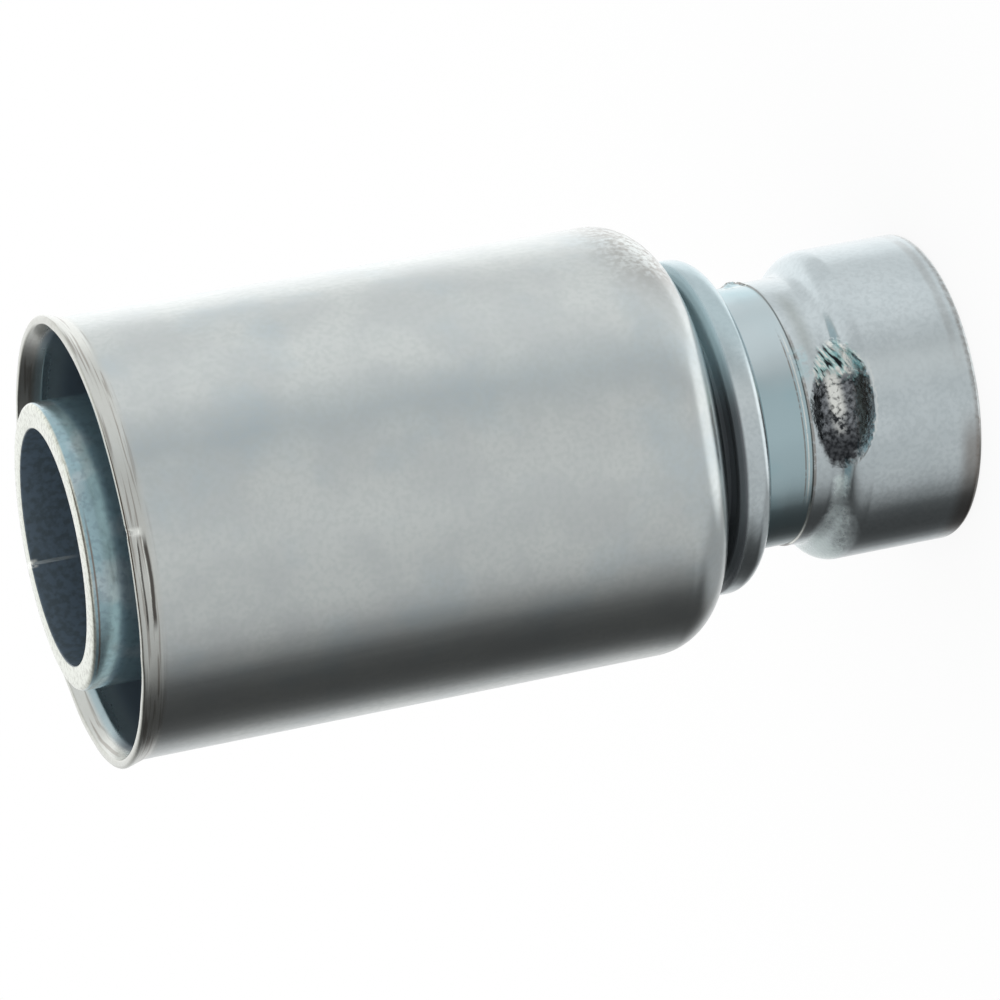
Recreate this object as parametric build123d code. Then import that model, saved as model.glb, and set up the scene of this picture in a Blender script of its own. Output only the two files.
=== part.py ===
from build123d import *
import os
from math import cos, radians, sin

# Weld-on beadlock fitting for a 5/8 inch refrigerant hose, in millimetres.
# The part stands on its weld end: +Z runs along the axis, from the weld face at z = 0
# to the hose nose at the top. It has two pieces, a formed steel stem and a crimp ferrule
# that is trapped between two beads of the stem.

# Stem tube
neck_od = 15.9           # outside of the 5/8 inch tube at the neck
bore_d = 13.9            # clear way through the whole stem
stem_length = 54.65      # weld face to hose nose

# Weld socket: the wide end that takes a tube of the neck's size and is welded round its edge
socket_clearance = 0.1   # between the tube and the socket, on each side
socket_wall = 1.35
socket_length = 6.7      # straight outside of the socket, from the weld face
socket_edge_radius = 0.4
socket_depth = 5.6           # straight bore of the socket, from the weld face
socket_mouth_chamfer = 0.3
socket_seat_radius = 0.2     # inside edge where the socket bore turns in to the shoulder

# Shoulder: the swage between socket and neck, two arcs joined by a straight flank
shoulder_flank_angle = 55.0
shoulder_crest_radius = 1.55
shoulder_root_radius = 0.8

# Witness step left on the neck where the swaging die stopped
die_step_height = 0.11
die_land_length = 1.54       # from the shoulder to the step

# Stakes: pockets pressed into the shoulder, which bulge inside as stops for the tube
stake_count = 2
stake_azimuth = 267.0    # the first stake, in degrees from +X
stake_shoulder_run = 2.05    # from the start of the shoulder to the middle of a stake
stake_depth_radius = 2.0     # half thickness of the crowned punch
stake_half_length = 5.8      # half length of the punch, across the axis
stake_depth = 0.5            # how far the pocket's floor lies below the neck's surface
stake_rim_radius = 0.3
stake_wall = 1.0             # metal left under the pocket

# Outer collar: the upset bead behind the ferrule
collar_height = 2.25         # above the neck's surface
collar_z = 13.65             # weld side of the collar
collar_width = 2.28
collar_back_radius = 1.1
collar_front_radius = 0.8
collar_root_radius = 0.3

# Bearing land: what the back of the ferrule rests on, in front of the collar
land_height = 0.75           # above the neck's surface
land_length = 0.52

# Ferrule
ferrule_od = 26.0
ferrule_wall = 0.8
ferrule_length = 36.75
ferrule_shoulder_radius = 3.4
ferrule_flare = 0.36         # how far the belled mouth stands out past the body
ferrule_flare_length = 1.25
ferrule_rim_radius = 0.2
ferrule_seat_clearance = 0.05

# Inner bead: holds the ferrule's back wall against the bearing land
bead_height = 1.2            # above the neck's surface
bead_width = 2.6
bead_crest_radius = 1.0
bead_seat_radius = 0.4       # edge next to the ferrule's back wall

# Hose stem: smooth nose and barbs that grip the hose
nose_od = 16.9
nose_land_length = 6.2
nose_edge_radius = 0.3
nose_mouth_chamfer = 0.1
barb_count = 3
barb_rise = 0.15             # how far a barb's crest stands out past the nose
barb_height = 0.85           # crest above root
barb_root_length = 3.6       # straight root below each barb, along the axis
barb_back_length = 0.5       # steep back of a barb, along the axis
barb_crest_width = 0.6

# How near an edge lies to a tool that cut it
touching = 1e-4

# Places that follow from the sizes above
neck_r = neck_od / 2
die_r = neck_r + die_step_height
bore_r = bore_d / 2
socket_bore_r = neck_r + socket_clearance
socket_r = socket_bore_r + socket_wall
stake_z = socket_length + stake_shoulder_run
stake_floor_r = neck_r - stake_depth
collar_r = neck_r + collar_height
collar_front_z = collar_z + collar_width
land_r = neck_r + land_height
ferrule_back_z = collar_front_z + land_length
ferrule_inner_z = ferrule_back_z + ferrule_wall
ferrule_mouth_z = ferrule_back_z + ferrule_length
ferrule_r = ferrule_od / 2
bead_r = neck_r + bead_height
bead_top_z = ferrule_inner_z + bead_width
nose_r = nose_od / 2
nose_land_z = stem_length - nose_land_length
barb_r = nose_r + barb_rise
barb_root_r = barb_r - barb_height


def shoulder_edges(start_z, crest_r, root_r, crest_radius, root_radius):
    """The S-shaped swage from radius crest_r at start_z up to the smaller radius root_r."""
    lean = radians(shoulder_flank_angle)
    radii = crest_radius + root_radius
    flank = (crest_r - root_r - radii * (1 - cos(lean))) / sin(lean)
    crest_end = (crest_r - crest_radius * (1 - cos(lean)), start_z + crest_radius * sin(lean))
    root_start = (crest_end[0] - flank * sin(lean), crest_end[1] + flank * cos(lean))
    half = lean / 2
    crest_middle = (crest_r - crest_radius * (1 - cos(half)), start_z + crest_radius * sin(half))
    end_z = start_z + radii * sin(lean) + flank * cos(lean)
    root_middle = (root_r + root_radius * (1 - cos(half)), end_z - root_radius * sin(half))
    return [
        ThreePointArc((crest_r, start_z), crest_middle, crest_end),
        Line(crest_end, root_start),
        ThreePointArc(root_start, root_middle, (root_r, end_z)),
    ], end_z


def quarter(start, end, centre):
    """Quarter circle from start to end about centre."""
    lean = cos(radians(45))
    middle_x = centre[0] + (start[0] + end[0] - 2 * centre[0]) * lean
    middle_y = centre[1] + (start[1] + end[1] - 2 * centre[1]) * lean
    return ThreePointArc(start, (middle_x, middle_y), end)


def turned(edges):
    """Solid of revolution about the axis from a closed outline in (radius, height)."""
    wire = Wire(edges)
    return revolve(Plane.XZ * make_face(wire), Axis.Z, 360)


def barb_edges():
    """Saw-tooth outline of the barbs, from the inner bead up to the nose land."""
    pitch = (nose_land_z - bead_top_z) / barb_count
    edges = []
    base_z = bead_top_z
    for index in range(barb_count):
        top_z = base_z + pitch
        ramp_end = nose_r if index == barb_count - 1 else barb_root_r
        back_z = base_z + barb_root_length
        crest_start = (barb_r, back_z + barb_back_length)
        crest_end = (barb_r, back_z + barb_back_length + barb_crest_width)
        edges += [
            Line((barb_root_r, base_z), (barb_root_r, back_z)),
            Line((barb_root_r, back_z), crest_start),
            Line(crest_start, crest_end),
        ]
        edges.append(Line(crest_end, (ramp_end, top_z)))
        base_z = top_z
    return edges


def stem_outside():
    """Everything of the stem but its bore, as one turned solid."""
    swage, neck_z = shoulder_edges(
        socket_length, socket_r, die_r, shoulder_crest_radius, shoulder_root_radius
    )
    edge = socket_edge_radius
    back = collar_back_radius
    front = collar_front_radius
    root = collar_root_radius
    crest = bead_crest_radius
    seat = bead_seat_radius
    nose = nose_edge_radius
    die_step_z = neck_z + die_land_length
    bead_foot = (barb_root_r, bead_top_z)
    bead_edge_z = bead_top_z - crest
    bead_side_z = ferrule_inner_z + seat
    edges = [
        Line((0, 0), (socket_r - edge, 0)),
        quarter((socket_r - edge, 0), (socket_r, edge), (socket_r - edge, edge)),
        Line((socket_r, edge), (socket_r, socket_length)),
    ]
    edges += swage
    edges += [
        Line((die_r, neck_z), (die_r, die_step_z)),
        Line((die_r, die_step_z), (neck_r, die_step_z)),
        Line((neck_r, die_step_z), (neck_r, collar_z - root)),
        quarter((neck_r, collar_z - root), (neck_r + root, collar_z), (neck_r + root, collar_z - root)),
        Line((neck_r + root, collar_z), (collar_r - back, collar_z)),
        quarter(
            (collar_r - back, collar_z),
            (collar_r, collar_z + back),
            (collar_r - back, collar_z + back),
        ),
        Line((collar_r, collar_z + back), (collar_r, collar_front_z - front)),
        quarter(
            (collar_r, collar_front_z - front),
            (collar_r - front, collar_front_z),
            (collar_r - front, collar_front_z - front),
        ),
        Line((collar_r - front, collar_front_z), (land_r, collar_front_z)),
        Line((land_r, collar_front_z), (land_r, ferrule_back_z)),
        Line((land_r, ferrule_back_z), (neck_r, ferrule_back_z)),
        Line((neck_r, ferrule_back_z), (neck_r, ferrule_inner_z)),
        Line((neck_r, ferrule_inner_z), (bead_r - seat, ferrule_inner_z)),
        quarter((bead_r - seat, ferrule_inner_z), (bead_r, bead_side_z), (bead_r - seat, bead_side_z)),
        Line((bead_r, bead_side_z), (bead_r, bead_edge_z)),
        quarter((bead_r, bead_edge_z), (bead_r - crest, bead_top_z), (bead_r - crest, bead_edge_z)),
        Line((bead_r - crest, bead_top_z), bead_foot),
    ]
    edges += barb_edges()
    edges += [
        Line((nose_r, nose_land_z), (nose_r, stem_length - nose)),
        quarter(
            (nose_r, stem_length - nose),
            (nose_r - nose, stem_length),
            (nose_r - nose, stem_length - nose),
        ),
        Line((nose_r - nose, stem_length), (0, stem_length)),
        Line((0, stem_length), (0, 0)),
    ]
    return turned(edges)


def stem_bore():
    """The way through the stem: socket, inner shoulder, bore and chamfered mouths."""
    chamfer = socket_mouth_chamfer
    lip = nose_mouth_chamfer
    swage, bore_z = shoulder_edges(
        socket_depth, socket_bore_r, bore_r, socket_seat_radius, shoulder_root_radius + socket_wall
    )
    edges = [
        Line((0, 0), (socket_bore_r + chamfer, 0)),
        Line((socket_bore_r + chamfer, 0), (socket_bore_r, chamfer)),
        Line((socket_bore_r, chamfer), (socket_bore_r, socket_depth)),
    ]
    edges += swage
    edges += [
        Line((bore_r, bore_z), (bore_r, stem_length - lip)),
        Line((bore_r, stem_length - lip), (bore_r + lip, stem_length)),
        Line((bore_r + lip, stem_length), (0, stem_length)),
        Line((0, stem_length), (0, 0)),
    ]
    return turned(edges)


def punch(azimuth, swell):
    """The crowned punch that presses one stake, grown by swell on every side."""
    depth = stake_depth_radius + swell
    half = stake_half_length + swell
    crown = ThreePointArc((0, -half), (depth, 0), (0, half))
    outline = Wire([crown, Line((0, half), (0, -half))])
    body = revolve(make_face(outline), Axis.Y, 360)
    centre_r = stake_floor_r + stake_depth_radius
    return Rot(0, 0, azimuth) * Pos(centre_r, 0, stake_z) * body


def pressed(body, azimuth):
    """The body with one stake pressed in and its rim rounded over."""
    tool = punch(azimuth, 0)
    dented = body - tool
    rim = [edge for edge in dented.edges() if tool.distance_to(edge @ 0.5) < touching]
    return fillet(rim, stake_rim_radius)


def stem():
    """The formed tube with its stakes pressed in."""
    outside = stem_outside()
    way = stem_bore()
    for index in range(stake_count):
        azimuth = stake_azimuth + 360 / stake_count * index
        outside = pressed(outside, azimuth)
        way -= punch(azimuth, stake_wall)
    return outside - way


def ferrule():
    """Drawn crimp shell: belled mouth, plain body, rounded shoulder, turned-in back wall."""
    wall = ferrule_wall
    hole_r = neck_r + ferrule_seat_clearance
    inner_r = ferrule_r - wall
    mouth_r = ferrule_r + ferrule_flare
    mouth_inner_r = mouth_r - wall
    rim = ferrule_rim_radius
    rim_z = ferrule_mouth_z - rim
    flare_z = ferrule_mouth_z - ferrule_flare_length
    flat_r = ferrule_r - ferrule_shoulder_radius
    shoulder_z = ferrule_back_z + ferrule_shoulder_radius
    edges = [
        Line((hole_r, ferrule_back_z), (flat_r, ferrule_back_z)),
        quarter((flat_r, ferrule_back_z), (ferrule_r, shoulder_z), (flat_r, shoulder_z)),
        Line((ferrule_r, shoulder_z), (ferrule_r, flare_z)),
        Line((ferrule_r, flare_z), (mouth_r, rim_z)),
        quarter((mouth_r, rim_z), (mouth_r - rim, ferrule_mouth_z), (mouth_r - rim, rim_z)),
        Line((mouth_r - rim, ferrule_mouth_z), (mouth_inner_r + rim, ferrule_mouth_z)),
        quarter(
            (mouth_inner_r + rim, ferrule_mouth_z),
            (mouth_inner_r, rim_z),
            (mouth_inner_r + rim, rim_z),
        ),
        Line((mouth_inner_r, rim_z), (inner_r, flare_z)),
        Line((inner_r, flare_z), (inner_r, shoulder_z)),
        quarter((inner_r, shoulder_z), (flat_r, ferrule_inner_z), (flat_r, shoulder_z)),
        Line((flat_r, ferrule_inner_z), (hole_r, ferrule_inner_z)),
        Line((hole_r, ferrule_inner_z), (hole_r, ferrule_back_z)),
    ]
    return turned(edges)


os.makedirs("parts", exist_ok=True)
export_step(stem(), "parts/stem.step")
export_step(ferrule(), "parts/ferrule.step")
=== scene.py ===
# %% Start: the fixed frame
from math import atan2, ceil, cos, degrees, exp, pi, radians, sin, sqrt, tan

import bpy
from mathutils import Matrix, Vector, noise


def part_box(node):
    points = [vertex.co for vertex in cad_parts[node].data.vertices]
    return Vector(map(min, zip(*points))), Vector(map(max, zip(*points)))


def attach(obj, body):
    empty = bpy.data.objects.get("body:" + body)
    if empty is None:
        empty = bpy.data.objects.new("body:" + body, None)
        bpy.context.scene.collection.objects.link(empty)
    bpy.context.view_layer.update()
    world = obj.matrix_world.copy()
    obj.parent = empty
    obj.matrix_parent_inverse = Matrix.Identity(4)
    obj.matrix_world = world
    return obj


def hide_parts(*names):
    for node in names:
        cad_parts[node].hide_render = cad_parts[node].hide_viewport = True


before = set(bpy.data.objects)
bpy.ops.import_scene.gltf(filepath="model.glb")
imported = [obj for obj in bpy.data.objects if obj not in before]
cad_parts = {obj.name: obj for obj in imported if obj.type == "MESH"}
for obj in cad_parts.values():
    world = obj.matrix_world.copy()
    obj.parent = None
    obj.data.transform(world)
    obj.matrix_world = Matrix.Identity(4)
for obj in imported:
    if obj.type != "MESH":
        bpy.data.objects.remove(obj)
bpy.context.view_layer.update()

# %% [markdown]
# ## Sizes
# The fitting stands on its weld end, with the axis up. Its two pieces are turned bodies, so every size is
# a radius or a height above the weld face. They are the sizes of the solid model, written here in metres.

# %% Sizes of the fitting
mm = 0.001
ferrule_r = 13.0 * mm
mouth_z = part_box("ferrule")[1].z
back_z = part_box("ferrule")[0].z
nose_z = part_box("stem")[1].z
print("ferrule from", round(back_z / mm, 2), "to", round(mouth_z / mm, 2), "mm")
print("nose at", round(nose_z / mm, 2), "mm")

# %% [markdown]
# ## The camera
# The picture was taken with a long lens from in front and a little above the open mouth, and the fitting
# lay on its side. Here the fitting stands upright, so the camera is rolled instead. Five numbers place
# it: the distance in ferrule radii, the height over the mouth in ferrule radii, and the three angles.

# %% Camera
camera_distance = 20.511 * ferrule_r
camera_height = mouth_z + 4.406 * ferrule_r
camera_pitch = -17.27
camera_yaw = 0.454
camera_roll = -100.75
lens = 169.4 * mm

camera_data = bpy.data.cameras.new("photo_camera")
camera_data.sensor_width = 36
camera_data.lens = lens / mm
camera_data.clip_start = 0.01
camera = bpy.data.objects.new("photo_camera", camera_data)
camera.matrix_world = (
    Matrix.Translation((0, -camera_distance, camera_height))
    @ Matrix.Rotation(radians(camera_yaw), 4, "Z")
    @ Matrix.Rotation(radians(90 + camera_pitch), 4, "X")
    @ Matrix.Rotation(radians(camera_roll), 4, "Z")
)
bpy.context.scene.collection.objects.link(camera)
bpy.context.scene.camera = camera
print("camera", round(camera_distance / mm), "mm from the axis and", round(camera_height / mm), "mm up")

# %% [markdown]
# ## A short way to write shader maths
# A procedural finish is arithmetic on patterns. Wired by hand it is a maze of Math nodes, so this small
# class wraps a socket and lets `+`, `-`, `*` and `/` add the nodes. Its masks are 1 where a mark is and 0
# elsewhere.

# %% Shader maths as Python
class Value:
    """A shader socket that can be used in Python expressions."""

    def __init__(self, finish, socket):
        self.finish = finish
        self.socket = socket

    def math(self, operation, *others, clamp=False):
        settings = {"operation": operation, "use_clamp": clamp}
        return self.finish.node("ShaderNodeMath", settings, {0: self} | dict(enumerate(others, 1)))

    def __add__(self, other):
        return self.math("ADD", other)

    def __radd__(self, other):
        return self.math("ADD", other)

    def __sub__(self, other):
        return self.math("SUBTRACT", other)

    def __rsub__(self, other):
        return (self * -1) + other

    def __mul__(self, other):
        return self.math("MULTIPLY", other)

    def __rmul__(self, other):
        return self.math("MULTIPLY", other)

    def __truediv__(self, other):
        return self.math("DIVIDE", other)

    def clamped(self):
        return self.math("ADD", 0, clamp=True)

    def step(self, low, high):
        """0 below low, 1 above high, smooth between them."""
        settings = {"interpolation_type": "SMOOTHSTEP", "clamp": True}
        values = {"Value": self, "From Min": low, "From Max": high, "To Min": 0, "To Max": 1}
        return self.finish.node("ShaderNodeMapRange", settings, values)

    def within(self, low, high, soft):
        """1 between low and high, 0 beyond, with soft ends."""
        return self.step(low - soft / 2, low + soft / 2) * (1 - self.step(high - soft / 2, high + soft / 2))

    def band(self, middle, half, soft):
        """1 within half of middle, 0 beyond, with a soft edge."""
        away = (self - middle).math("ABSOLUTE")
        return 1 - away.step(half - soft / 2, half + soft / 2)


# %% [markdown]
# Every other node comes from `Finish.node`, which takes a node's type, its settings and the values or
# links of its sockets. A finish is built as a painter works: `paint` lays one colour over what is there,
# through a mask.

# %% A finish
class Finish:
    """A material that is made of expressions."""

    def __init__(self, name):
        self.material = bpy.data.materials.new(name)
        self.material.use_nodes = True
        self.tree = self.material.node_tree
        self.tree.nodes.clear()

    def node(self, kind, settings=None, values=None, output=0):
        """Adds one node: settings first, then the values or links of its sockets."""
        node = self.tree.nodes.new(kind)
        for key, setting in (settings or {}).items():
            if key == "stops":
                ramp = node.color_ramp
                while len(ramp.elements) < len(setting):
                    ramp.elements.new(0.5)
                for element, (place, colour) in zip(ramp.elements, setting):
                    element.position = place
                    element.color = (*colour, 1)
            elif key == "blend":
                node.color_ramp.interpolation = setting
            else:
                setattr(node, key, setting)
        for key, value in (values or {}).items():
            socket = node.inputs[key]
            if isinstance(value, Value):
                self.tree.links.new(value.socket, socket)
            else:
                socket.default_value = value
        return Value(self, node.outputs[output])

    def place(self):
        """Where the point is on the piece: x, y, z and radius in metres, and its turn in degrees."""
        self.point = self.node("ShaderNodeTexCoord", output="Object")
        self.x, self.y, self.z = (
            self.node("ShaderNodeSeparateXYZ", values={0: self.point}, output=axis) for axis in "XYZ"
        )
        self.radius = (self.x * self.x + self.y * self.y).math("SQRT")
        self.turn = (self.x * -1).math("ARCTAN2", self.y * -1) * (180 / pi)

    def mix(self, share, first, second):
        """Blends two colours, each three numbers or a Value."""
        colours = [colour if isinstance(colour, Value) else (*colour, 1) for colour in (first, second)]
        values = {"Factor": share, 6: colours[0], 7: colours[1]}
        return self.node("ShaderNodeMix", {"data_type": "RGBA"}, values, output=2)

    def paint(self, share, colour):
        """Lays a colour over the colours so far."""
        self.colour = self.mix(share, self.colour, colour)

    def pattern(self, size, detail=2, squash=(1, 1, 1), point=None):
        """Noise with patches about as large as size."""
        vector = self.node("ShaderNodeMapping", {}, {"Vector": point or self.point, "Scale": squash})
        return self.node("ShaderNodeTexNoise", {}, {"Vector": vector, "Scale": 1 / size, "Detail": detail})

    def metal(self, metallic, roughness, height):
        """Ends in plating, or in the dull film of a deep hole, with a relief whose height is in metres."""
        bump = self.node("ShaderNodeBump", {}, {"Strength": 1.0, "Distance": 1.0, "Height": height})
        values = {"Base Color": self.colour, "Metallic": metallic, "Roughness": roughness, "Normal": bump}
        return self.end(self.node("ShaderNodeBsdfPrincipled", {}, values))

    def end(self, shader):
        output = self.tree.nodes.new("ShaderNodeOutputMaterial")
        self.tree.links.new(shader.socket, output.inputs["Surface"])
        return self.material


# %% [markdown]
# ## Turned pieces
# On the real fitting the tube is rolled and pressed to shape and the shell is deep drawn, and both come
# out round. In Blender such a form is a spun profile. The outline is given by its corners, each with a
# radius from the axis, a height and a rounding, which is how a lathe drawing states it. `rounded` puts an
# arc at each corner, and `divided` adds points on the runs that are reshaped later.

# %% Points of an outline
arc_step = 0.12 * mm


def rounded(corners):
    """Points round a closed outline, with an arc at each corner that has a rounding."""
    points = []
    for index, (radius, height, rounding) in enumerate(corners):
        here = Vector((radius, height))
        back = (Vector(corners[index - 1][:2]) - here).normalized()
        on = (Vector(corners[(index + 1) % len(corners)][:2]) - here).normalized()
        if not rounding:
            points.append(here)
            continue
        half = back.angle(on) / 2
        centre = here + (back + on).normalized() * rounding / sin(half)
        arm = here + back * rounding / tan(half) - centre
        sweep = (pi - 2 * half) * (1 if back.cross(on) < 0 else -1)
        steps = max(4, ceil(abs(sweep) * rounding / arc_step))
        for step in range(steps + 1):
            points.append(centre + Matrix.Rotation(sweep * step / steps, 2) @ arm)
    return points


def divided(points, step, low=-1, high=1):
    """Cuts each run whose middle is between two heights into pieces no longer than step."""
    result = []
    for index, start in enumerate(points):
        end = points[(index + 1) % len(points)]
        inside = low < (start.y + end.y) / 2 < high
        cuts = ceil((end - start).length / step) if inside else 1
        result += [start.lerp(end, cut / cuts) for cut in range(cuts)]
    return result


# %% [markdown]
# `spun` starts from a wire circle with as many vertices as the outline has points and moves each to its
# place, which is much quicker than extruding them one by one. A Screw modifier without any rise turns the
# wire round the axis and merges the seam. The normals are then made to point outwards.

# %% Spin an outline
spin_steps = 320


def spun(name, points):
    bpy.ops.object.select_all(action="DESELECT")
    bpy.ops.mesh.primitive_circle_add(vertices=len(points), radius=mm, location=(0, 0, 0))
    piece = bpy.context.object
    piece.name = name
    for vertex, point in zip(piece.data.vertices, points):
        vertex.co = (point.x, 0, point.y)
    screw = piece.modifiers.new("spin", "SCREW")
    screw.steps = screw.render_steps = spin_steps
    screw.use_merge_vertices = True
    screw.merge_threshold = 0.001 * mm
    bpy.ops.object.modifier_apply(modifier=screw.name)
    bpy.ops.object.mode_set(mode="EDIT")
    bpy.ops.mesh.select_all(action="SELECT")
    bpy.ops.mesh.normals_make_consistent(inside=False)
    bpy.ops.object.mode_set(mode="OBJECT")
    return piece


# %% [markdown]
# Pressing and small dents are done by moving vertices, because a boolean would leave ragged faces that
# spoil the reflections. `reshape` hands each vertex to a rule, with its turn round the axis: 0 degrees
# faces the camera, and a positive turn is on the lower side in the picture.

# %% Reshape a piece
def reshape(piece, rule):
    """Reads the normals before the first move, because a move makes Blender work them all out again."""
    normals = [vertex.normal.copy() for vertex in piece.data.vertices]
    for vertex, normal in zip(piece.data.vertices, normals):
        turn = degrees(atan2(-vertex.co.x, -vertex.co.y))
        vertex.co += rule(vertex.co, turn, normal)


def fade(value, none, full):
    """0 at none, 1 at full and smooth between them."""
    share = min(1, max(0, (value - none) / (full - none)))
    return share * share * (3 - 2 * share)


def finish_piece(piece, node):
    """Smooth shading, and the frame's marks on the finished piece."""
    bpy.ops.object.select_all(action="DESELECT")
    piece.select_set(True)
    bpy.context.view_layer.objects.active = piece
    bpy.ops.object.shade_smooth_by_angle(angle=radians(35))
    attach(piece, "root")
    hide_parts(node)
    print(piece.name, "has", len(piece.data.polygons), "faces")


# %% [markdown]
# ## The stem
# One length of tube: the weld socket is swaged wider, two stakes are pressed into its shoulder, the
# collar and the inner bead are upset, and the nose end is rolled into barbs. The swage is two arcs with a
# straight flank between them. The outline is finer where the stakes are pressed in, so that their rims
# come out smooth.

# %% Stem sizes
neck_r = 7.95 * mm
bore_r = 6.95 * mm
socket_r = 9.4 * mm
socket_bore_r = 8.05 * mm
flank = tan(radians(55))
crest_z = 7.507 * mm
root_z = crest_z + (socket_r - neck_r - 0.11 * mm) / flank
seat_z = 5.704 * mm
die_step_z = 10.4 * mm
collar_r = 10.2 * mm
collar_z = 13.65 * mm
collar_front_z = 15.93 * mm
land_r = 8.7 * mm
inner_z = back_z + 0.8 * mm
bead_r = 9.15 * mm
bead_z = inner_z + 2.6 * mm
nose_r = 8.45 * mm
nose_land_z = nose_z - 6.2 * mm
barb_r = 8.6 * mm
barb_root_r = 7.75 * mm
barb_count = 3

# %% Stem outline
stem_corners = [
    (socket_bore_r + 0.3 * mm, 0, 0),
    (socket_r, 0, 0.4 * mm),
    (socket_r, crest_z, 1.55 * mm),
    (neck_r + 0.11 * mm, root_z, 0.8 * mm),
    (neck_r + 0.11 * mm, die_step_z, 0.05 * mm),
    (neck_r, die_step_z, 0.05 * mm),
    (neck_r, collar_z, 0.3 * mm),
    (collar_r, collar_z, 1.1 * mm),
    (collar_r, collar_front_z, 0.8 * mm),
    (land_r, collar_front_z, 0),
    (land_r, back_z, 0),
    (neck_r, back_z, 0),
    (neck_r, inner_z, 0),
    (bead_r, inner_z, 0.4 * mm),
    (bead_r, bead_z, 1.0 * mm),
]
barb_pitch = (nose_land_z - bead_z) / barb_count
for index in range(barb_count):
    base_z = bead_z + barb_pitch * index
    stem_corners += [
        (barb_root_r, base_z, 0.1 * mm),
        (barb_root_r, base_z + 3.6 * mm, 0.1 * mm),
        (barb_r, base_z + 4.1 * mm, 0.1 * mm),
        (barb_r, base_z + 4.7 * mm, 0.1 * mm),
    ]
stem_corners += [
    (nose_r, nose_land_z, 0.1 * mm),
    (nose_r, nose_z, 0.3 * mm),
    (bore_r, nose_z, 0.1 * mm),
    (bore_r, seat_z + (socket_bore_r - bore_r) / flank, 2.15 * mm),
    (socket_bore_r, seat_z, 0.2 * mm),
    (socket_bore_r, 0.3 * mm, 0),
]
stem_points = divided(rounded(stem_corners), 2 * mm)
stem_points = divided(stem_points, 0.13 * mm, 5.3 * mm, 12.2 * mm)
stem = spun("stem_fine", stem_points)
print("stem outline has", len(stem_points), "points")

# %% [markdown]
# ## The stakes
# Each stake is the print of a crowned punch that was pressed in across the axis. A vertex that the punch
# would cover moves in to its surface, and where the two surfaces meet they are blended, as pressed metal
# draws in. Inside the tube the same punch, larger by the wall, makes the bulge that stops the tube. The
# punch was rough, so a little noise is added on the pocket's floor.

# %% Press the stakes
stake_turn = 3
stake_z = 8.75 * mm
stake_wall = 1.0 * mm
punch_r = 2.0 * mm
punch_half = 5.8 * mm
punch_centre_r = 9.45 * mm
rim_blend = 0.35 * mm
floor_rough = 0.05 * mm
floor_waves = 1400
press_end_z = (3.4 * mm, 2.6 * mm)
press_end_side = (4.3 * mm, 3.3 * mm)


def pressed(point, normal, facing):
    """How far one stake moves a vertex in toward the axis."""
    out = Vector((-sin(radians(facing)), -cos(radians(facing)), 0))
    across = Vector((-out.y, out.x, 0))
    high = point.dot(out)
    if high < 0:
        return Vector()
    swell = 0 if normal.x * point.x + normal.y * point.y > 0 else stake_wall
    depth = punch_r + swell
    half = punch_half + swell
    crown = (half * half + depth * depth) / (2 * depth)
    side = point.dot(across)
    if abs(side) > half:
        return Vector()
    width = sqrt(crown * crown - side * side) - crown + depth
    height = point.z - stake_z
    reach = width * width - height * height
    floor = punch_centre_r - (sqrt(reach) if reach > 0 else reach / width)
    if not swell:
        floor += floor_rough * noise.noise(point * floor_waves) * fade(high - floor, 0, 0.5 * mm)
    share = min(1, max(0, 0.5 + (high - floor) / (2 * rim_blend)))
    blended = high + (floor - high) * share - rim_blend * share * (1 - share)
    return out * (blended - high) * fade(abs(height), *press_end_z) * fade(abs(side), *press_end_side)


# %% [markdown]
# The swaging die stood a little aslant, so the shoulder reaches farther up the neck on one side. A small
# drop of zinc stands on the side of the neck.

# %% Shape of the real stem
slant_side = 0.6 * mm
slant_back = 0.1 * mm
swage_start = (3.5 * mm, 6.5 * mm)
swage_end = (10.3 * mm, 9.3 * mm)
drop_height = 0.3 * mm
drop_turn = -87
drop_width = 4
drop_z = 10.9 * mm
drop_ends = (0.75 * mm, 0.2 * mm)
drop_waves = 2500


def stem_shape(point, turn, normal):
    """The stakes, the slight slant of the swage, and the drop."""
    swage = fade(point.z, *swage_start) * fade(point.z, *swage_end)
    slant = (slant_side * sin(radians(turn)) + slant_back * sin(radians(turn)) ** 2) * swage
    drop = drop_height * exp(-((turn - drop_turn) / drop_width) ** 2)
    drop *= fade(abs(point.z - drop_z), *drop_ends)
    drop *= (0.7 + noise.noise(point * drop_waves)) if point.xy.length > neck_r - 0.1 * mm else 0
    out = Vector((point.x, point.y, 0)).normalized()
    stakes = pressed(point, normal, stake_turn) + pressed(point, normal, stake_turn + 180)
    return stakes + out * drop + Vector((0, 0, slant))


reshape(stem, stem_shape)
finish_piece(stem, "stem")

# %% [markdown]
# ## The ferrule
# A deep-drawn shell with a thin, even wall: the mouth is belled, the body is plain, and the closed end
# has a round shoulder and a hole that grips the tube. The belling thinned the lip.

# %% Ferrule outline
wall = 0.8 * mm
lip_wall = 0.55 * mm
hole_r = neck_r + 0.05 * mm
flare = 0.36 * mm
flare_z = mouth_z - 1.25 * mm
ferrule_corners = [
    (hole_r, back_z, 0),
    (ferrule_r, back_z, 3.4 * mm),
    (ferrule_r, flare_z, 0.6 * mm),
    (ferrule_r + flare, mouth_z, 0.2 * mm),
    (ferrule_r + flare - lip_wall, mouth_z, 0.15 * mm),
    (ferrule_r - wall, flare_z, 0.6 * mm),
    (ferrule_r - wall, inner_z, 2.6 * mm),
    (hole_r, inner_z, 0),
]
ferrule_points = divided(rounded(ferrule_corners), 1 * mm)
ferrule_points = divided(ferrule_points, 0.14 * mm, flare_z - 1 * mm, mouth_z)
ferrule = spun("ferrule_fine", ferrule_points)
print("ferrule outline has", len(ferrule_points), "points")

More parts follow.
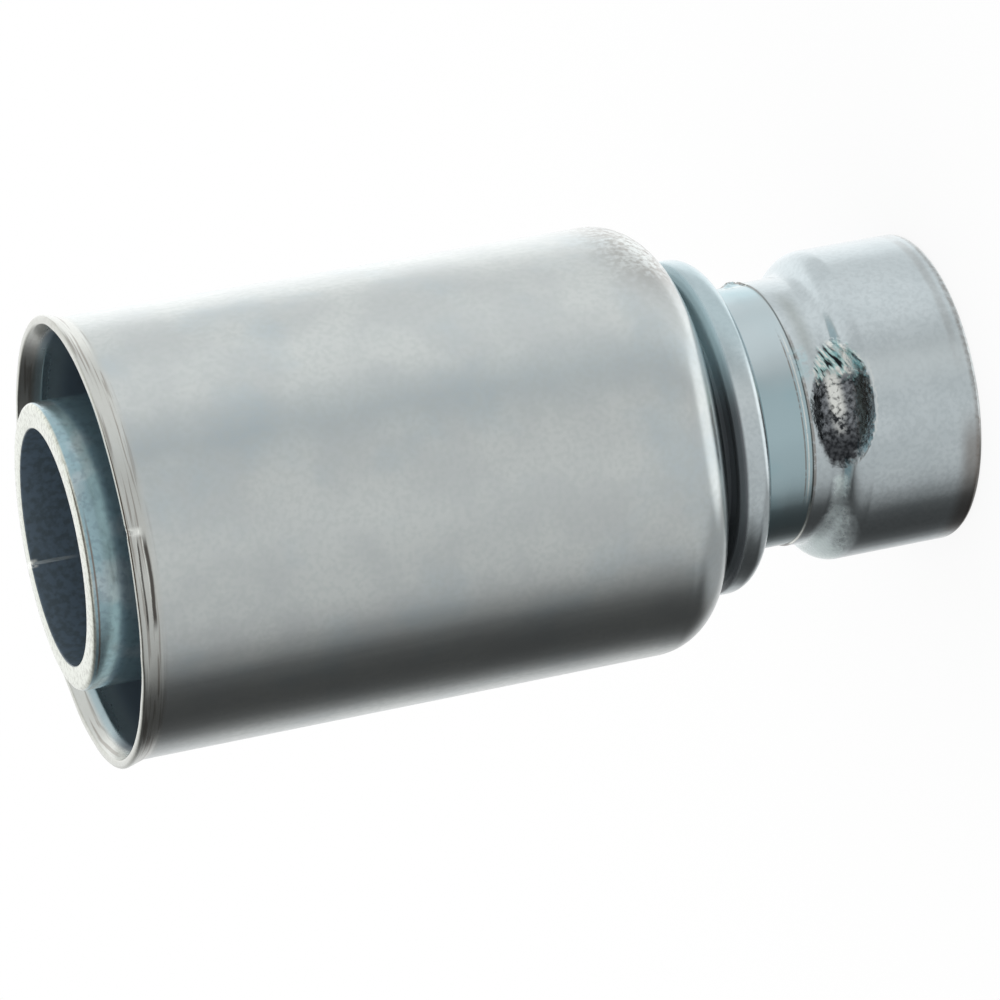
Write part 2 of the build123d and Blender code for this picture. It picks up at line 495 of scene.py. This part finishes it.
# %% [markdown]
# The mouth's edge was trimmed, so it is not quite even and has one burr, and the shoulder was pushed
# forward a little on one side when the shell was locked on.

# %% Shape of the real shell
push = 0.42 * mm
push_turn = 10
push_width = 42
push_fade = 7 * mm
ripple = 0.05 * mm
ripple_waves = 260
burr_height = 0.16 * mm
burr_width = 1.6
burr_waves = 4000


def ferrule_shape(point, turn, normal):
    """The pushed shoulder and the uneven trimmed edge."""
    radius = point.xy.length
    near_back = fade(point.z, back_z + push_fade, back_z) * fade(radius, 9 * mm, 11 * mm)
    near_mouth = fade(point.z, flare_z, mouth_z)
    at_edge = fade(point.z, mouth_z - 0.9 * mm, mouth_z - 0.2 * mm)
    lift = push * exp(-((turn - push_turn) / push_width) ** 2) * near_back
    wave = ripple * noise.noise(Vector((point.x, point.y, 0)) * ripple_waves) * near_mouth
    burr = burr_height * exp(-(turn / burr_width) ** 2) * at_edge
    wave += burr * (0.5 + noise.noise(point * burr_waves))
    out = Vector((point.x, point.y, 0)).normalized()
    return out * wave - Vector((0, 0, abs(wave))) + Vector((0, 0, lift))


reshape(ferrule, ferrule_shape)
finish_piece(ferrule, "ferrule")

# %% [markdown]
# ## Zinc plate
# Bright zinc is a satin metal with a cool, faintly cloudy colour. The cloudiness is a large soft noise in
# the colour and a smaller one in the roughness. Where the plating was rubbed, torn or cut, the same few
# colours come back on both pieces, and the brown and the pale colour also serve as painted shade and
# painted highlights. All colours are linear shares of red, green and blue.

# %% Colours and relief on both pieces
# This brown is real film on some marks and painted shade on others.
brown_film_and_shade = (0.22, 0.18, 0.15)
# This pale colour is bare cut metal on some marks and a painted highlight on others.
cut_edge_and_highlight = (0.86, 0.88, 0.84)
speck_relief = 1.5e-3 * mm

# %% Colours of the ferrule
plate = (0.67, 0.708, 0.70)
plate_cloud = (0.61, 0.648, 0.65)
plate_grain = (0.57, 0.62, 0.61)
blue_film_and_reflection = (0.50, 0.60, 0.65)
bell_film = (0.64, 0.64, 0.59)
bell_line = (0.30, 0.28, 0.25)
tear_dark = (0.05, 0.042, 0.035)
rim_face = (0.50, 0.51, 0.47)
# Painted shade inside the shell, and painted light at its lip.
shell_inside_shade = (0.10, 0.135, 0.17)
shell_lip_light = (0.44, 0.55, 0.58)

# %% [markdown]
# The body has a blue film in patches, and a painted blue reflection along one line that faces the camera.
# A mottled brown stain lies on the upper side of the shoulder.

# %% Body of the ferrule
blue_reflection_turn = -20


def body_plating(finish):
    """Cloudy zinc, a painted blue reflection along one line, and the stain on the shoulder."""
    finish.colour = finish.mix(finish.clouds.step(0.35, 0.65), plate, plate_cloud)
    finish.paint(finish.pattern(5 * mm, 3).step(0.48, 0.72) * 0.4, blue_film_and_reflection)
    # A painted blue reflection along the line that faces the camera.
    finish.paint(finish.turn.band(blue_reflection_turn, half=6, soft=16) * 0.42, blue_film_and_reflection)
    finish.paint(finish.specks.step(0.42, 0.62) * 0.35, plate_grain)
    stain = 1 - finish.z.step(back_z + 0.5 * mm, back_z + 6 * mm)
    stain = stain * finish.z.step(back_z + 0.5 * mm, back_z + 1.3 * mm)
    stain = stain * finish.turn.within(-130, -45, soft=30)
    finish.paint(stain * (finish.specks + finish.clouds * 0.8).step(0.66, 1.05) * 0.9, brown_film_and_shade)


# %% [markdown]
# Belling the mouth stretched the zinc: it is yellower there, with fine rings, and torn along two dark
# lines on the side that faces the camera. The trimmed rim is bare and speckled, with one bright chip.

# %% Mouth of the ferrule
def mouth_marks(finish):
    """Paints the belled mouth, and gives the mask of its torn lines."""
    bell = finish.z.step(flare_z - 0.4 * mm, flare_z + 0.3 * mm)
    rings = finish.pattern(0.2 * mm, 2, (0.04, 0.04, 1))
    finish.paint(bell * 0.6, bell_film)
    finish.paint(bell * rings.step(0.52, 0.64) * (0.35 + finish.clouds * 0.6), bell_line)
    slip = (finish.clouds - 0.5) * (0.25 * mm)
    thin_tear = (finish.z + slip).band(mouth_z - 0.5 * mm, half=0.05 * mm, soft=0.08 * mm)
    wide_tear = (finish.z - slip).band(mouth_z - 0.95 * mm, half=0.12 * mm, soft=0.12 * mm)
    tears = ((thin_tear + wide_tear) * finish.turn.within(2, 24, soft=5)).clamped()
    finish.paint(tears * 0.9, tear_dark)
    face = finish.z.step(mouth_z - 0.16 * mm, mouth_z - 0.08 * mm)
    finish.paint(face * (1 - finish.specks.step(0.4, 0.7) * 0.5), rim_face)
    chip = finish.turn.band(0, half=1.0, soft=1.2) * finish.z.step(mouth_z - 1.0 * mm, mouth_z - 0.7 * mm)
    finish.paint(chip * finish.specks.step(0.35, 0.5), cut_edge_and_highlight)
    return tears


# %% [markdown]
# The inside of the shell has a dull film and is painted dark as shade, and at the lip, on the side away
# from the camera, it is painted lighter as light falling in.

# %% Inside of the ferrule
def shell_shade_and_light(finish):
    """Paints painted shade inside the shell and painted light at its lip, and gives the mask of its dull
    part.
    """
    inside = 1 - finish.radius.step(12.3 * mm, 12.5 * mm)
    inside = inside * finish.z.step(back_z + 3 * mm, back_z + 4 * mm)
    inside = inside * (1 - finish.z.step(mouth_z - 0.5 * mm, mouth_z - 0.1 * mm))
    lip = finish.z.step(mouth_z - 3.2 * mm, mouth_z - 0.8 * mm)
    lip = lip * finish.turn.math("ABSOLUTE").step(95, 118) * (0.75 + finish.specks * 0.5).clamped()
    # Painted shade deep in the shell, and painted light at the lip on the far side.
    finish.paint(inside, finish.mix(lip, shell_inside_shade, shell_lip_light))
    return inside * (1 - lip)


# %% [markdown]
# Drawing the shell left very fine lines along the axis: a noise that is stretched along Z. They are in
# the relief and, faintly, in the roughness.

# %% Finish of the ferrule
line_relief = 1.6e-3 * mm
tear_depth = 0.04 * mm


def ferrule_finish():
    finish = Finish("ferrule_zinc")
    finish.place()
    finish.clouds = finish.pattern(4 * mm, 4)
    finish.specks = finish.pattern(0.35 * mm, 3)
    lines = finish.pattern(0.4 * mm, 3, (1, 1, 0.04))
    body_plating(finish)
    tears = mouth_marks(finish)
    dull = shell_shade_and_light(finish)
    relief = lines * line_relief + finish.specks * speck_relief - tears * tear_depth
    roughness = finish.specks * 0.10 + lines * 0.06 + 0.13 + dull * 0.2
    return finish.metal(1 - dull * 0.75, roughness, relief)


ferrule_zinc = ferrule_finish()
print("finish:", ferrule_zinc.name, "with", len(ferrule_zinc.node_tree.nodes), "nodes")

# %% [markdown]
# ## Zinc on the stem
# The same bath gave the neck a bluer film, and the edge of the tube stayed bright where it was cut. The
# bore got hardly any plating, and the tube's rolled seam shows in it as a fine bright line. The punch of
# each stake tore the film, and its pocket is painted dark as shade, with painted highlights.

# %% Colours of the stem
socket_plate = (0.63, 0.70, 0.725)
socket_cloud = (0.58, 0.65, 0.675)
socket_painted_sheen = (0.80, 0.87, 0.88)
old_film_and_shade = (0.47, 0.53, 0.55)
flank_shade = (0.34, 0.37, 0.35)
neck_film = (0.40, 0.555, 0.60)
neck_cloud = (0.43, 0.565, 0.605)
gap_shade = (0.07, 0.08, 0.09)
gap_teal_shade = (0.30, 0.43, 0.47)
nose_film = (0.35, 0.51, 0.56)
nose_shadow = (0.15, 0.22, 0.27)
annulus = (0.66, 0.69, 0.62)
annulus_dark = (0.50, 0.52, 0.46)
bore_film = (0.085, 0.125, 0.165)
bore_spot = (0.062, 0.09, 0.11)
pocket_shade = (0.02, 0.022, 0.025)
pocket_grey = (0.27, 0.29, 0.31)
pocket_teal_highlight = (0.42, 0.64, 0.63)
pocket_wall_shade = (0.10, 0.09, 0.075)
pale_teal_highlight = (0.60, 0.80, 0.84)
ridge_reflection_colour = (0.62, 0.72, 0.70)


# %% Weld socket
def socket_plating(finish):
    """Cloudy zinc with specks of older film, painted shade on the upper side and on the shoulder's flank, a
    painted sheen facing the camera, darker brown on the lower side near the end, and a brown, worn end.
    """
    finish.colour = finish.mix(finish.clouds.step(0.35, 0.65), socket_plate, socket_cloud)
    finish.paint(finish.specks.step(0.42, 0.62) * 0.3, old_film_and_shade)
    # The older film's colour on the upper side is painted shade.
    finish.paint(finish.turn.within(-110, -56, soft=24) * 0.45, old_film_and_shade)
    # A painted sheen on the side that faces the camera.
    finish.paint(finish.turn.band(-9, half=6, soft=12) * 0.4, socket_painted_sheen)
    # Painted shade on the shoulder's flank.
    shoulder = finish.z.band(9.4 * mm, half=0.4 * mm, soft=0.9 * mm)
    finish.paint(shoulder * finish.turn.within(-56, -22, soft=16) * 0.5, flank_shade)
    # The lower side near the end is painted darker brown.
    corner = finish.turn.within(18, 75, soft=20) * (1 - finish.z.step(0.8 * mm, 1.8 * mm))
    finish.paint(corner * 0.6, brown_film_and_shade)
    end = 1 - finish.z.step(0.35 * mm, 0.6 * mm)
    finish.paint(end * (0.3 + finish.specks.step(0.4, 0.7) * 0.25), brown_film_and_shade)
    worn = finish.z.band(1.0 * mm, half=0.25 * mm, soft=0.3 * mm) * finish.clouds.step(0.45, 0.6)
    finish.paint(worn * finish.turn.within(-80, -10, soft=30) * 0.22, brown_film_and_shade)


# %% [markdown]
# The swaging die stopped on the neck and left a low step. Painted shade and painted highlights draw it as
# fine dark and bright lines round the side that faces the camera.

# %% Neck
neck_end_z = collar_z + 0.2 * mm


def neck_plating(finish):
    """The blue film of the neck, with a painted reflection on its upper side and painted shade on its lower
    side, and the lines of the die step as painted shade and highlights.
    """
    neck = finish.z.within(die_step_z, neck_end_z, soft=0.1 * mm)
    finish.paint(neck, finish.mix(finish.clouds.step(0.35, 0.6), neck_film, neck_cloud))
    # A painted reflection makes the neck lighter on the upper side that faces the camera.
    finish.paint(neck * finish.turn.within(-62, -14, soft=16) * 0.65, socket_plate)
    # Painted shade on the lower side of the neck.
    finish.paint(neck * finish.turn.within(62, 110, soft=16) * 0.35, brown_film_and_shade)
    finish.paint(finish.z.band(die_step_z, half=0.03 * mm, soft=0.06 * mm) * 0.7, brown_film_and_shade)
    # The die step's fine lines are painted shade and painted highlights.
    front = finish.turn.within(-32, 42, soft=16) * finish.specks.step(0.25, 0.5)
    outer_step_shade = finish.z.band(die_step_z + 0.45 * mm, half=0.04 * mm, soft=0.08 * mm)
    finish.paint(outer_step_shade * front * 0.8, brown_film_and_shade)
    step_highlight = finish.z.band(die_step_z + 0.25 * mm, half=0.04 * mm, soft=0.08 * mm)
    finish.paint(step_highlight * front * 0.8, cut_edge_and_highlight)
    inner_step_shade = finish.z.band(die_step_z - 0.08 * mm, half=0.1 * mm, soft=0.08 * mm)
    finish.paint(inner_step_shade * front * 0.6, brown_film_and_shade)
    lower_step_highlight = finish.z.band(die_step_z, half=0.06 * mm, soft=0.08 * mm)
    finish.paint(lower_step_highlight * finish.turn.within(45, 84, soft=8) * 0.9, cut_edge_and_highlight)


# %% [markdown]
# Little light falls between the collar and the shell, so that ring is painted dark as shade, teal on its
# upper side, and the collar's upper side is painted bluer. A thin painted shade line runs along the upper
# edge of the neck, with a painted highlight beside it.

# %% Collar gap shade, and painted shade and highlight on the neck's edge
def gap_shade_and_collar_film(finish):
    """Paints the ring in front of the collar as painted shade and the collar's upper side bluer, and gives
    the mask of the ring's dull part.
    """
    upper_side = 1 - finish.turn.step(-35, 0)
    gap = finish.z.within(collar_front_z - 0.5 * mm, back_z, soft=0.2 * mm)
    # Painted shade in the ring between collar and shell, teal on its upper side.
    finish.paint(gap * 0.9, finish.mix(upper_side, gap_shade, gap_teal_shade))
    collar = finish.z.within(collar_z, collar_front_z, soft=0.3 * mm)
    finish.paint(collar * upper_side * 0.5, neck_film)
    return gap * (upper_side * 0.45 + 0.3)


def neck_edge_shade_and_highlight(finish):
    # A painted shade line along the upper edge of the neck, and a painted highlight just below it.
    wander = (finish.clouds - 0.5) * 14
    edge_shade_line = (finish.turn + wander).band(-86, half=1.6, soft=2)
    edge_shade_line = edge_shade_line * finish.z.within(10.0 * mm, 13.3 * mm, soft=0.8 * mm)
    finish.paint(edge_shade_line * finish.specks.step(0.38, 0.5) * 0.8, brown_film_and_shade)
    edge_highlight_line = (finish.turn + wander).band(-78, half=1.2, soft=2)
    edge_highlight_line = edge_highlight_line * finish.z.within(10.2 * mm, 11.8 * mm, soft=0.8 * mm)
    finish.paint(edge_highlight_line * finish.specks.step(0.4, 0.55) * 0.7, cut_edge_and_highlight)


# %% [markdown]
# Under the shell the tube has a dull teal film with painted shadow, so it is brighter toward the nose. The
# cut face of the nose is pale and speckled, with a fine rolled line behind its edge.

# %% Hose end
def hose_end_film(finish):
    """Paints the hose end and its cut face, and gives the mask of all that is under the shell."""
    under_shell = finish.z.step(back_z, inner_z)
    near_nose = finish.z.step(nose_z - 7.5 * mm, nose_z - 3.5 * mm)
    # Painted shadow darkens the tube away from the nose.
    film = finish.mix(near_nose, nose_shadow, nose_film)
    film = finish.mix(finish.clouds.step(0.5, 0.64) * 0.5, film, socket_plate)
    film = finish.mix(finish.grains.step(0.5, 0.6) * 0.25, film, nose_shadow)
    rolled = finish.z.band(nose_z - 0.36 * mm, half=0.05 * mm, soft=0.07 * mm)
    film = finish.mix(rolled * finish.turn.within(-5, 60, soft=20) * 0.9, film, brown_film_and_shade)
    finish.paint(under_shell, film)
    face = finish.z.step(nose_z - 0.22 * mm, nose_z - 0.1 * mm)
    finish.paint(face, finish.mix(finish.specks.step(0.45, 0.65), annulus, annulus_dark))
    return under_shell


# %% Bore
seam_turn = 174


def bore_film_and_seam(finish):
    """Paints the bore, its seam and the notch at its end, and gives the three masks."""
    bore = 1 - finish.radius.step(6.97 * mm, 7.05 * mm)
    seam = bore * finish.turn.band(seam_turn, half=0.7, soft=0.8)
    seam = seam * finish.z.step(nose_z - 3.2 * mm, nose_z - 1.2 * mm)
    notch = finish.turn.band(seam_turn, half=1.6, soft=2) * finish.specks.step(0.4, 0.5)
    notch = notch * finish.z.step(nose_z - 0.5 * mm, nose_z - 0.2 * mm)
    film = finish.mix(finish.grains.step(0.4, 0.65), bore_film, bore_spot)
    finish.paint(bore, finish.mix(seam * 0.8, film, socket_plate))
    finish.paint(notch, cut_edge_and_highlight)
    return bore, seam, notch


# %% [markdown]
# ## The torn film, painted shade and painted highlights in the stakes
# A stake is painted in its own directions: `across` runs over the axis, down in the picture, and z runs
# along it. The pocket is an ellipse with a ragged edge. Its floor is speckled torn film, painted dark as
# shade and darker toward its lower end, with a painted highlight streak and a fainter painted highlight
# spot. Its wall toward the socket is painted brown as shade, its upper end is torn into slanted slivers
# painted as teal and bright highlights, and a painted highlight bar and a painted highlight rim stand
# beside it. Above it, near the neck, lies a pale teal painted highlight.

# %% Pocket of a stake
pocket_middle_z = 8.41 * mm
pocket_half_z = 1.66 * mm
pocket_lean = 0.08
pocket_middle_across = -0.2 * mm
pocket_half_across = 3.75 * mm
sliver_lean = 0.53
sliver_squash = 0.3


def pocket_floor(finish, across, height):
    """The colours inside a pocket: torn film, painted shade and painted highlights."""
    chatter = finish.pattern(0.28 * mm, 4)
    slanted = {0: across * sliver_squash, 1: 0.0, 2: finish.z + across * sliver_lean}
    slivers = finish.pattern(0.24 * mm, 2, point=finish.node("ShaderNodeCombineXYZ", {}, slanted))
    # The pocket is painted darker toward its lower end, as shade.
    lower = across.step(0.6 * mm, 2.4 * mm)
    torn_and_shaded = finish.mix(chatter.step(0.3, 0.72) * (1 - lower * 0.75), pocket_shade, pocket_grey)
    # The wall toward the socket is painted brown, as shade.
    socket_side = 1 - height.step(-0.8, -0.5)
    torn_and_shaded = finish.mix(socket_side * (0.5 + chatter * 0.5), torn_and_shaded, pocket_wall_shade)
    # Slanted slivers at the upper end are painted as teal and bright highlights.
    sliver_highlights = finish.mix(slivers.step(0.5, 0.62), pocket_teal_highlight, cut_edge_and_highlight)
    sliver_highlights = finish.mix(slivers.step(0.4, 0.5), pocket_shade, sliver_highlights)
    upper_end = 1 - (across + (chatter - 0.5) * (2 * mm)).step(-2.3 * mm, -1.5 * mm)
    torn_and_shaded = finish.mix(upper_end, torn_and_shaded, sliver_highlights)
    # A painted highlight streak and a fainter painted highlight spot.
    streak_highlight = (finish.z - 8.36 * mm + across * 0.06).band(0, half=0.42 * mm, soft=0.5 * mm)
    streak_highlight = streak_highlight * across.within(-2.1 * mm, 0.5 * mm, soft=0.9 * mm)
    streak_highlight = streak_highlight * (chatter + streak_highlight * 0.2).step(0.42, 0.7)
    spot_highlight = across.band(1.0 * mm, half=0.5 * mm, soft=0.6 * mm)
    spot_highlight = spot_highlight * finish.z.band(8.45 * mm, half=0.3 * mm, soft=0.5 * mm) * chatter.step(0.4, 0.6)
    return finish.mix((streak_highlight + spot_highlight * 0.5).clamped(), torn_and_shaded, cut_edge_and_highlight)


def stake_shade_and_highlights(finish, across, facing):
    """Paints both stakes with painted shade and painted highlights, and what stands round them, and gives
    the mask of the pockets.
    """
    height = (finish.z - pocket_middle_z - across * pocket_lean) / pocket_half_z
    side = (across - pocket_middle_across) / pocket_half_across
    ragged = side * side + height * height + (finish.specks - 0.5) * 0.6
    outside = facing * finish.radius.step(7.0 * mm, 7.1 * mm)
    pocket = (1 - ragged.step(0.75, 1.1)) * outside
    finish.paint(pocket, pocket_floor(finish, across, height))
    # A painted highlight rim and a painted highlight bar beside the pocket.
    rim_highlight = ragged.band(1.2, half=0.07, soft=0.1) * (1 - height.step(-0.9, -0.6))
    rim_highlight = rim_highlight * across.within(-2.4 * mm, 2.0 * mm, soft=0.8 * mm)
    bar_highlight = (finish.z + across * sliver_lean).band(6.12 * mm, half=0.14 * mm, soft=0.14 * mm)
    bar_highlight = bar_highlight * across.within(-3.9 * mm, -2.2 * mm, soft=0.4 * mm)
    finish.paint((rim_highlight * 0.35 + bar_highlight * 0.9).clamped() * outside, cut_edge_and_highlight)
    # A pale teal painted highlight near the neck.
    glint = across.band(-2.9 * mm, half=0.9 * mm, soft=0.8 * mm) * facing
    glint = glint * finish.z.band(10.1 * mm, half=0.45 * mm, soft=0.5 * mm)
    finish.paint(glint * finish.grains.step(0.35, 0.6) * 0.7, pale_teal_highlight)
    return pocket


# %% [markdown]
# Below the pockets, in the picture, the pressed metal has a pale, dull stripe, a painted reflection of
# light on the pressed ridge, that widens toward the side of the tube.

# %% Painted reflection stripe
ridge_reflection_z = 8.72 * mm


def ridge_reflection_stripe(finish, across):
    """Paints the stripe as a painted reflection and gives its mask."""
    spread = across.step(5.4 * mm, 8.4 * mm) * (0.75 * mm) + 0.34 * mm
    away = (finish.z - ridge_reflection_z + (finish.specks - 0.5) * (0.5 * mm)).math("ABSOLUTE")
    ridge_reflection = 1 - (away / spread).step(0.3, 1.5)
    ridge_reflection = ridge_reflection * across.step(3.7 * mm, 4.3 * mm) * finish.radius.step(7.6 * mm, 7.7 * mm)
    ridge_reflection = ridge_reflection * (1 - across.band(5.6 * mm, half=0.5 * mm, soft=1.6 * mm) * 0.55)
    ridge_reflection = ridge_reflection * (finish.clouds.step(0.3, 0.6) * 0.35 + finish.specks * 0.6).clamped()
    # A pale painted reflection on the pressed ridge.
    finish.paint(ridge_reflection, ridge_reflection_colour)
    return ridge_reflection


# %% Finish of the stem
pocket_relief = 0.06 * mm
seam_relief = 0.03 * mm


def stem_finish():
    finish = Finish("stem_zinc")
    finish.place()
    finish.clouds = finish.pattern(3 * mm, 4)
    finish.specks = finish.pattern(0.3 * mm, 3)
    finish.grains = finish.pattern(0.4 * mm, 4)
    along = radians(stake_turn)
    across = finish.y * sin(along) - finish.x * cos(along)
    facing = (finish.x * sin(along) + finish.y * cos(along)).math("ABSOLUTE").step(3 * mm, 3.5 * mm)
    socket_plating(finish)
    neck_plating(finish)
    dull_gap = gap_shade_and_collar_film(finish)
    neck_edge_shade_and_highlight(finish)
    under_shell = hose_end_film(finish)
    bore, seam, notch = bore_film_and_seam(finish)
    pocket = stake_shade_and_highlights(finish, across, facing)
    ridge_reflection = ridge_reflection_stripe(finish, across)
    relief = finish.specks * speck_relief + pocket * finish.grains * pocket_relief + seam * seam_relief
    roughness = finish.specks * 0.12 + 0.11 + bore * 0.25 + pocket * 0.02
    dull = bore * (1 - seam - notch).clamped() * 0.9 + under_shell * (1 - bore) * 0.18
    dull = (dull + ridge_reflection * 0.8 + dull_gap).clamped()
    return finish.metal(1 - dull, roughness, relief)


stem_zinc = stem_finish()
print("finish:", stem_zinc.name, "with", len(stem_zinc.node_tree.nodes), "nodes")

# %% Finishes on the pieces
for piece, material in ((ferrule, ferrule_zinc), (stem, stem_zinc)):
    piece.data.materials.append(material)
    print(piece.name, "is finished with", material.name)

# %% [markdown]
# ## The light tent
# Metal shows what stands round it. The photographer's tent was white behind the fitting, light grey in
# front and dark on one side, and the cylinder shows that side as a long dark band. The tent here is a
# sphere that only reflections see. Its brightness is a ramp of the direction round the axis, in degrees.
# Low down the dark side leans over and gets lighter, straight down is white, and the opening overhead is
# dark.

# %% Light tent
tent_radius = 1.2
tent_stops = (
    (-180, 1.15), (-156, 1.30), (-140, 1.22), (-124, 0.92), (-108, 0.86), (-84, 0.91),
    (-66, 0.86), (-50, 0.72), (-38, 0.64), (-26, 0.69), (-12, 0.71), (12, 0.72),
    (36, 0.65), (50, 0.62), (62, 0.53), (76, 0.29), (88, 0.10), (100, 0.07),
    (112, 0.065), (124, 0.09), (134, 0.22), (146, 0.56), (160, 0.82), (180, 1.15),
)
gap_slant = 10
low_light = (0.42, 0.42, 0.42)
bottom_light = (1.25, 1.25, 1.25)
opening_dark = (0.09, 0.065, 0.05)


def tent_material():
    finish = Finish("tent_cloth")
    finish.place()
    height = finish.z / tent_radius
    depth = height * -1
    turn = finish.turn / 360 + 0.5 - depth.step(0.26, 0.38) * (gap_slant / 360)
    stops = [((angle + 180) / 360, (level, level, level)) for angle, level in tent_stops]
    light = finish.node("ShaderNodeValToRGB", {"stops": stops, "blend": "EASE"}, {0: turn})
    lighten = {"data_type": "RGBA", "blend_type": "LIGHTEN"}
    low = {"Factor": depth.step(0.52, 0.72), 6: light, 7: (*low_light, 1)}
    finish.colour = finish.node("ShaderNodeMix", lighten, low, output=2)
    finish.paint(depth.step(0.88, 0.96), bottom_light)
    finish.paint(height.step(0.84, 0.94), opening_dark)
    return finish.end(finish.node("ShaderNodeEmission", {}, {"Color": finish.colour, "Strength": 1.0}))


bpy.ops.object.select_all(action="DESELECT")
bpy.ops.mesh.primitive_uv_sphere_add(segments=48, ring_count=24, radius=tent_radius, location=(0, 0, 0))
tent = bpy.context.object
tent.name = "light_tent"
tent.data.materials.append(tent_material())
tent.visible_camera = False
tent.visible_diffuse = False
tent.visible_shadow = False
print("tent radius", tent_radius, "m, with", len(tent_stops), "steps of light")

# %% [markdown]
# ## Floor and surroundings
# The floor is a white disc. Most of it glows, so that it is as white as the surroundings, and the rest is
# matt white and keeps a soft shadow of the fitting. It stays out of the reflections, where the tent is
# seen. There is no lamp: the other light comes from the even white surroundings.

# %% Floor
floor_radius = 0.12
floor_glow = 0.88
bpy.ops.object.select_all(action="DESELECT")
bpy.ops.mesh.primitive_circle_add(vertices=128, radius=floor_radius, fill_type="NGON", location=(0, 0, 0))
floor = bpy.context.object
floor.name = "floor"
floor_finish = Finish("floor_white")
paper = floor_finish.node("ShaderNodeBsdfDiffuse", {}, {"Color": (1, 1, 1, 1)})
glow = floor_finish.node("ShaderNodeEmission", {}, {"Color": (1, 1, 1, 1), "Strength": 1.0})
floor.data.materials.append(
    floor_finish.end(floor_finish.node("ShaderNodeMixShader", {}, {0: floor_glow, 1: paper, 2: glow}))
)
floor.visible_glossy = False
print("floor", round(2 * floor_radius / mm), "mm across")

# %% White surroundings
world = bpy.data.worlds.new("white_surroundings")
bpy.context.scene.world = world
world.use_nodes = True
world.node_tree.nodes["Background"].inputs["Color"].default_value = (1, 1, 1, 1)
world.node_tree.nodes["Background"].inputs["Strength"].default_value = 1.0

# %% Colours as written
bpy.context.scene.view_settings.view_transform = "Standard"
